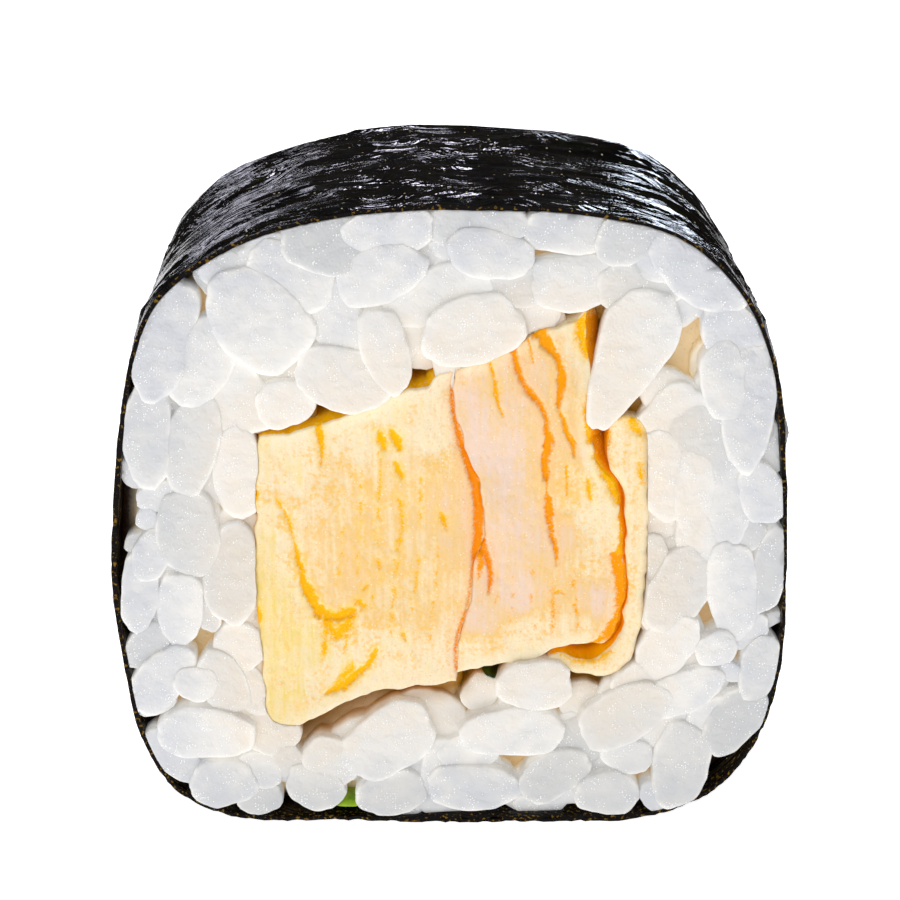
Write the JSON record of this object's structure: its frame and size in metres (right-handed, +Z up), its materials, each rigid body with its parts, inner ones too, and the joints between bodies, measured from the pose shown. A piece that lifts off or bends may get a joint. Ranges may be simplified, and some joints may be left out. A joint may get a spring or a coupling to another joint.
{
  "type": "maki roll slice",
  "caption": "Thick slice of rolled sushi: seaweed sheet round a bed of cooked rice with a filling of rolled omelette, standing on its side.",
  "frame": {"origin": "middle of the base, where the slice rests on its seaweed", "axes": "+Z up, +X across the roll, +Y along the roll's axis; the cut face of the picture looks along -Y"},
  "size_m": [0.0505, 0.025, 0.0496],
  "materials": {
    "seaweed": "dark green-black toasted seaweed, semi-gloss, wrinkled round the roll",
    "rice": "translucent white cooked rice, moist",
    "egg": "pale cream omelette with golden pores and orange layer lines, soft and moist",
    "leaf": "moist green leaf"
  },
  "bodies": {
    "root": {"nori": "seaweed", "rice": "rice", "egg_core": "egg", "egg_folds": "egg", "egg_wrap": "egg", "leaf_by_egg": "leaf", "leaf_by_base": "leaf"}
  },
  "joints": []
}
